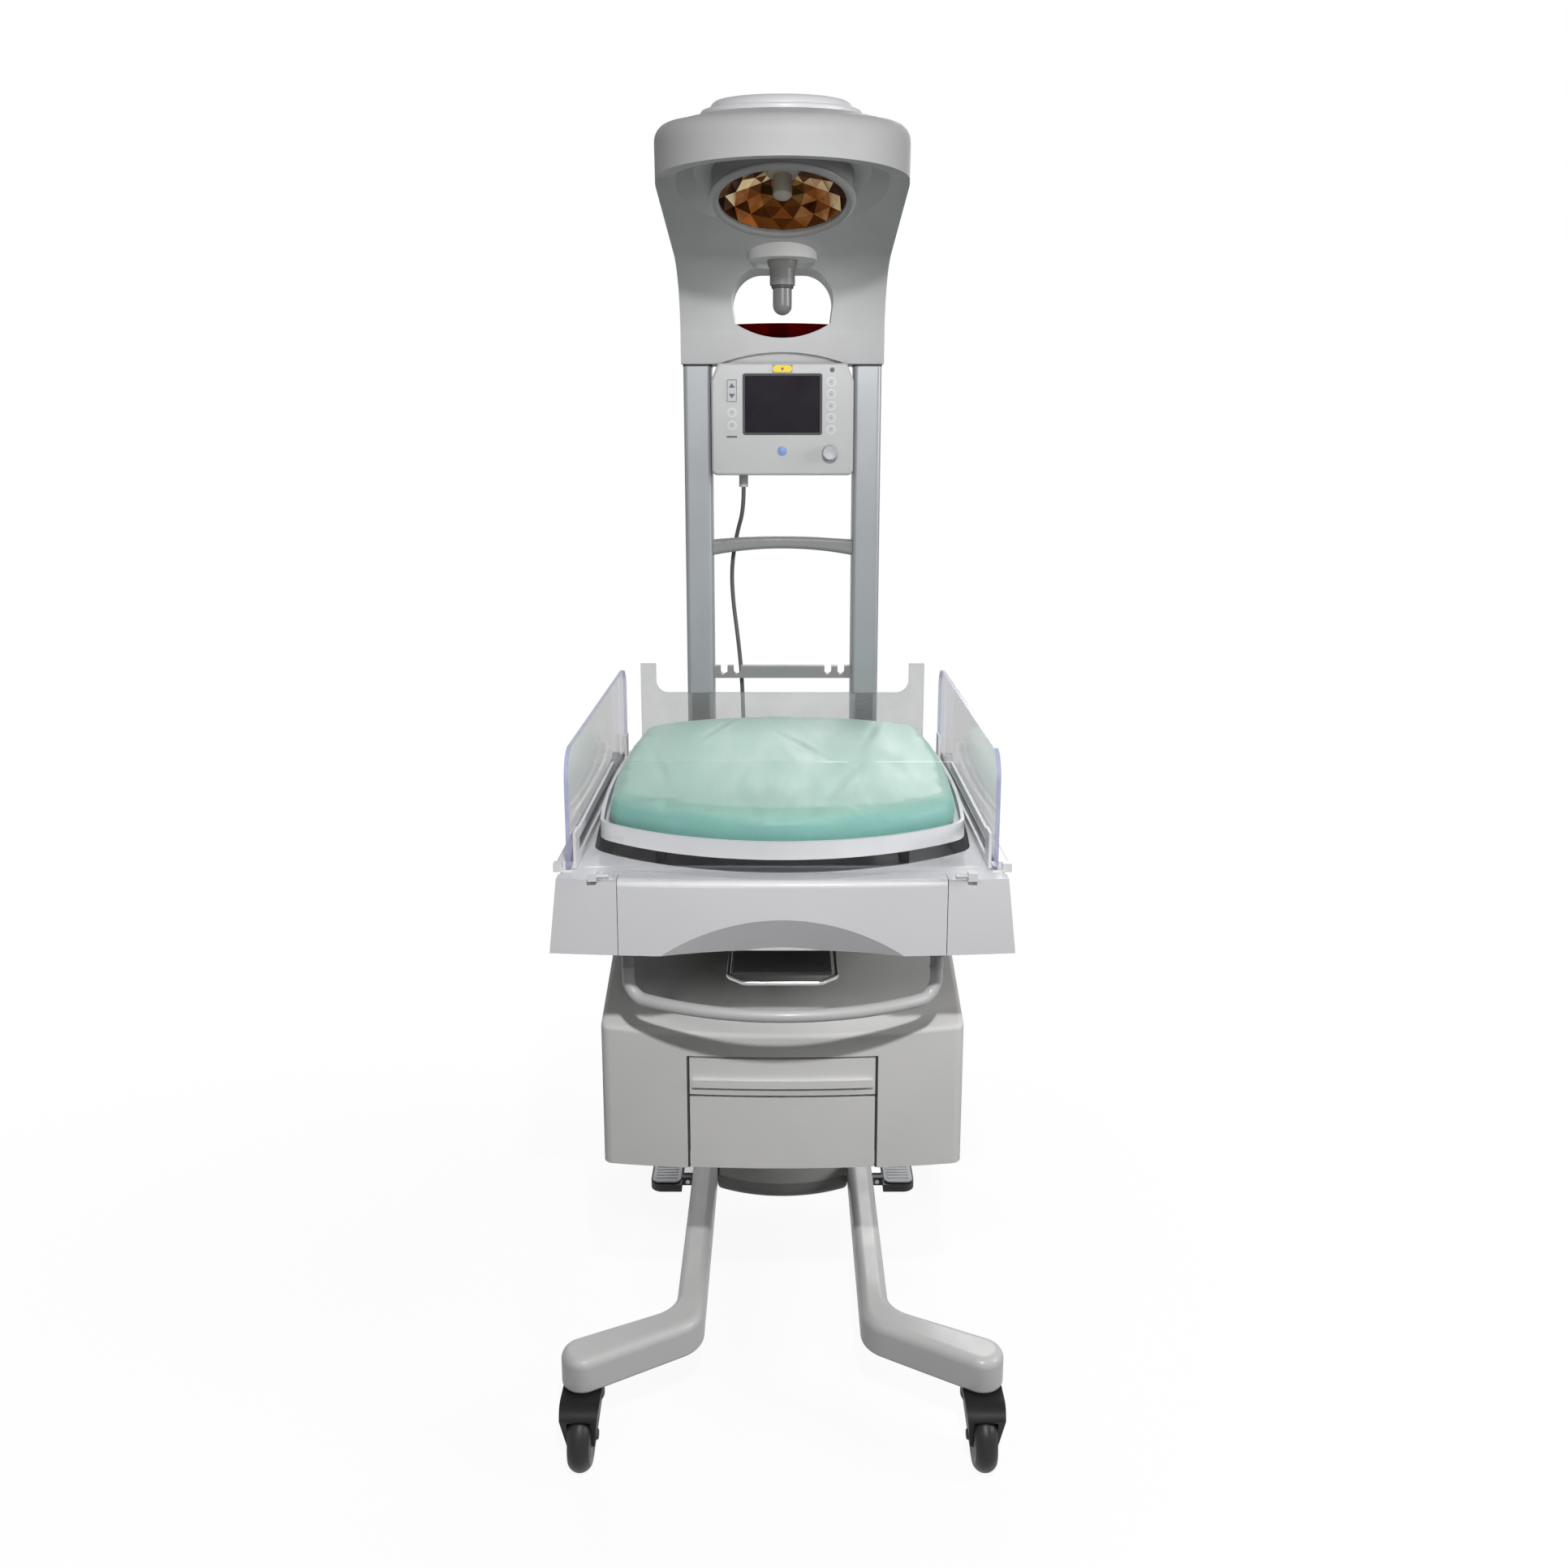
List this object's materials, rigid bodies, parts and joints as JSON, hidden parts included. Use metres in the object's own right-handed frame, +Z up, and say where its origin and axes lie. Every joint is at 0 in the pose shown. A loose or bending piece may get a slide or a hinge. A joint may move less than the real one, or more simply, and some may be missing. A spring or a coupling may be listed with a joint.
{
  "type": "infant radiant warmer",
  "caption": "Free-standing infant warmer on casters: tilting mattress in fold-down clear panels, drawers, lifting column, control panel and overhead radiant heater.",
  "frame": {"origin": "on the floor, at the middle of the object's box", "axes": "+Z up, -Y towards the person at the front of the bed, +X to that person's right"},
  "size_m": [0.652, 0.936, 1.9674],
  "materials": {
    "leg_finish": "light warm grey paint on cast alloy",
    "pan_finish": "light warm grey paint",
    "cabinet_finish": "moulded warm light grey",
    "bed_finish": "moulded lavender white",
    "hood_finish": "moulded light grey",
    "panel_finish": "moulded pale grey",
    "column_finish": "satin anodised, blue-grey",
    "mast_finish": "satin anodised",
    "steel_finish": "brushed",
    "wire_finish": "polished",
    "caster_finish": "black",
    "tread_finish": "black, smooth",
    "pedal_finish": "grey",
    "tray_finish": "dark grey",
    "mattress_finish": "wipe-clean mint green cover",
    "clear_finish": "clear acrylic",
    "rail_finish": "pale grey",
    "reflector_finish": "gold, polished",
    "ring_finish": "pale, satin",
    "element_finish": "ceramic, off white",
    "tip_finish": "white",
    "alarm_finish": "dark red, translucent",
    "screen_finish": "near black",
    "knob_finish": "grey",
    "alarm_key_finish": "yellow",
    "rocker_finish": "blue-grey",
    "membrane_finish": "blue-grey",
    "cable_finish": "dark grey"
  },
  "bodies": {
    "base": {"leg_left": "leg_finish", "leg_right": "leg_finish", "base_pan": "pan_finish", "lift_shroud": "cabinet_finish", "pedal_brackets": "steel_finish"},
    "left_pedal": {"pedal_left": "pedal_finish"},
    "right_pedal": {"pedal_right": "pedal_finish"},
    "carriage": {"lift_mast": "mast_finish", "actuator_rod": "steel_finish", "bed_chassis": "mast_finish", "cabinet_shell": "cabinet_finish", "slide_runners": "steel_finish", "push_rail": "rail_finish", "bed_base": "bed_finish", "bed_fascia": "bed_finish", "corner_caps": "bed_finish", "tilt_pivot": "steel_finish", "panel_pivots": "rail_finish", "back_panel": "clear_finish", "columns": "column_finish", "cross_bar": "column_finish", "tubing_bar": "rail_finish", "control_housing": "panel_finish", "screen": "screen_finish", "membrane_keys": "membrane_finish", "head_shell": "hood_finish", "top_cap": "hood_finish", "heater_can": "hood_finish", "heater_ring": "ring_finish", "reflector": "reflector_finish", "heater_element": "element_finish", "lamp_socket": "hood_finish", "alarm_lens": "alarm_finish", "panel_cable": "cable_finish", "cable_glands": "cable_finish"},
    "upper_drawer_box": {"upper_drawer": "cabinet_finish"},
    "lower_drawer_box": {"lower_drawer": "cabinet_finish"},
    "tray": {"pull_tray": "tray_finish", "tray_handle": "wire_finish"},
    "deck": {"mattress_deck": "bed_finish", "mattress": "mattress_finish"},
    "left_panel": {"side_panel_left": "clear_finish", "side_rail_left": "rail_finish"},
    "right_panel": {"side_panel_right": "clear_finish", "side_rail_right": "rail_finish"},
    "front_clear_panel": {"front_panel": "clear_finish", "front_rail": "rail_finish"},
    "lamp": {"lamp_barrel": "hood_finish", "lamp_tip": "tip_finish"},
    "knob": {"control_knob": "knob_finish"},
    "alarm_button": {"alarm_key": "alarm_key_finish"},
    "rocker": {"height_rocker": "rocker_finish"},
    "swivel_front_left": {"caster_front_left": "caster_finish"},
    "roller_front_left": {"wheel_front_left": "tread_finish"},
    "swivel_front_right": {"caster_front_right": "caster_finish"},
    "roller_front_right": {"wheel_front_right": "tread_finish"},
    "swivel_rear_left": {"caster_rear_left": "caster_finish"},
    "roller_rear_left": {"wheel_rear_left": "tread_finish"},
    "swivel_rear_right": {"caster_rear_right": "caster_finish"},
    "roller_rear_right": {"wheel_rear_right": "tread_finish"}
  },
  "joints": [
    {"name": "swivel_turn_front_left", "type": "hinge", "parent": "base", "child": "swivel_front_left", "pos_m": [-0.294, -0.384, 0.105], "axis": [0, 0, 1], "continuous": true},
    {"name": "wheel_spin_front_left", "type": "hinge", "parent": "swivel_front_left", "child": "roller_front_left", "pos_m": [-0.294, -0.418, 0.05], "axis": [1, 0, 0], "continuous": true},
    {"name": "swivel_turn_front_right", "type": "hinge", "parent": "base", "child": "swivel_front_right", "pos_m": [0.294, -0.384, 0.105], "axis": [0, 0, 1], "continuous": true},
    {"name": "wheel_spin_front_right", "type": "hinge", "parent": "swivel_front_right", "child": "roller_front_right", "pos_m": [0.294, -0.418, 0.05], "axis": [1, 0, 0], "continuous": true},
    {"name": "swivel_turn_rear_left", "type": "hinge", "parent": "base", "child": "swivel_rear_left", "pos_m": [-0.294, 0.436, 0.105], "axis": [0, 0, 1], "continuous": true},
    {"name": "wheel_spin_rear_left", "type": "hinge", "parent": "swivel_rear_left", "child": "roller_rear_left", "pos_m": [-0.26, 0.436, 0.05], "axis": [0, 1, 0], "continuous": true},
    {"name": "swivel_turn_rear_right", "type": "hinge", "parent": "base", "child": "swivel_rear_right", "pos_m": [0.294, 0.436, 0.105], "axis": [0, 0, 1], "continuous": true},
    {"name": "wheel_spin_rear_right", "type": "hinge", "parent": "swivel_rear_right", "child": "roller_rear_right", "pos_m": [0.26, 0.436, 0.05], "axis": [0, 1, 0], "continuous": true},
    {"name": "left_pedal_press", "type": "hinge", "parent": "base", "child": "left_pedal", "pos_m": [-0.176, 0.163, 0.125], "axis": [0, -1, 0], "range_deg": [0, 10], "stiffness_Nm_per_rad": 12, "springref_deg": -8.59},
    {"name": "right_pedal_press", "type": "hinge", "parent": "base", "child": "right_pedal", "pos_m": [0.176, 0.163, 0.125], "axis": [0, 1, 0], "range_deg": [0, 10], "stiffness_Nm_per_rad": 12, "springref_deg": -8.59},
    {"name": "bed_lift", "type": "slide", "parent": "base", "child": "carriage", "axis": [0, 0, 1], "range_m": [-0.13, 0.12]},
    {"name": "upper_drawer_pull", "type": "slide", "parent": "carriage", "child": "upper_drawer_box", "axis": [0, -1, 0], "range_m": [0, 0.28]},
    {"name": "lower_drawer_pull", "type": "slide", "parent": "carriage", "child": "lower_drawer_box", "axis": [0, -1, 0], "range_m": [0, 0.28]},
    {"name": "tray_pull", "type": "slide", "parent": "carriage", "child": "tray", "axis": [0, -1, 0], "range_m": [0, 0.25]},
    {"name": "deck_tilt", "type": "hinge", "parent": "carriage", "child": "deck", "pos_m": [0, -0.065, 0.905], "axis": [1, 0, 0], "range_deg": [-12, 12]},
    {"name": "left_panel_fold", "type": "hinge", "parent": "carriage", "child": "left_panel", "pos_m": [-0.302, -0.087, 0.917], "axis": [0, -1, 0], "range_deg": [0, 175]},
    {"name": "right_panel_fold", "type": "hinge", "parent": "carriage", "child": "right_panel", "pos_m": [0.302, -0.087, 0.917], "axis": [0, 1, 0], "range_deg": [0, 175]},
    {"name": "front_panel_fold", "type": "hinge", "parent": "carriage", "child": "front_clear_panel", "pos_m": [0, -0.449, 0.917], "axis": [1, 0, 0], "range_deg": [0, 175]},
    {"name": "lamp_aim", "type": "hinge", "parent": "carriage", "child": "lamp", "pos_m": [0, 0.2, 1.772], "axis": [1, 0, 0], "range_deg": [-15, 15]},
    {"name": "knob_turn", "type": "hinge", "parent": "carriage", "child": "knob", "pos_m": [0.083, 0.255, 1.457], "axis": [0, -1, 0], "continuous": true},
    {"name": "alarm_button_press", "type": "slide", "parent": "carriage", "child": "alarm_button", "axis": [0, 1, 0], "range_m": [0, 0.002], "stiffness_N_per_m": 600, "springref_m": -0.0008},
    {"name": "rocker_press", "type": "hinge", "parent": "carriage", "child": "rocker", "pos_m": [-0.088, 0.265, 1.563], "axis": [1, 0, 0], "range_deg": [-6, 6], "stiffness_Nm_per_rad": 0.6}
  ]
}
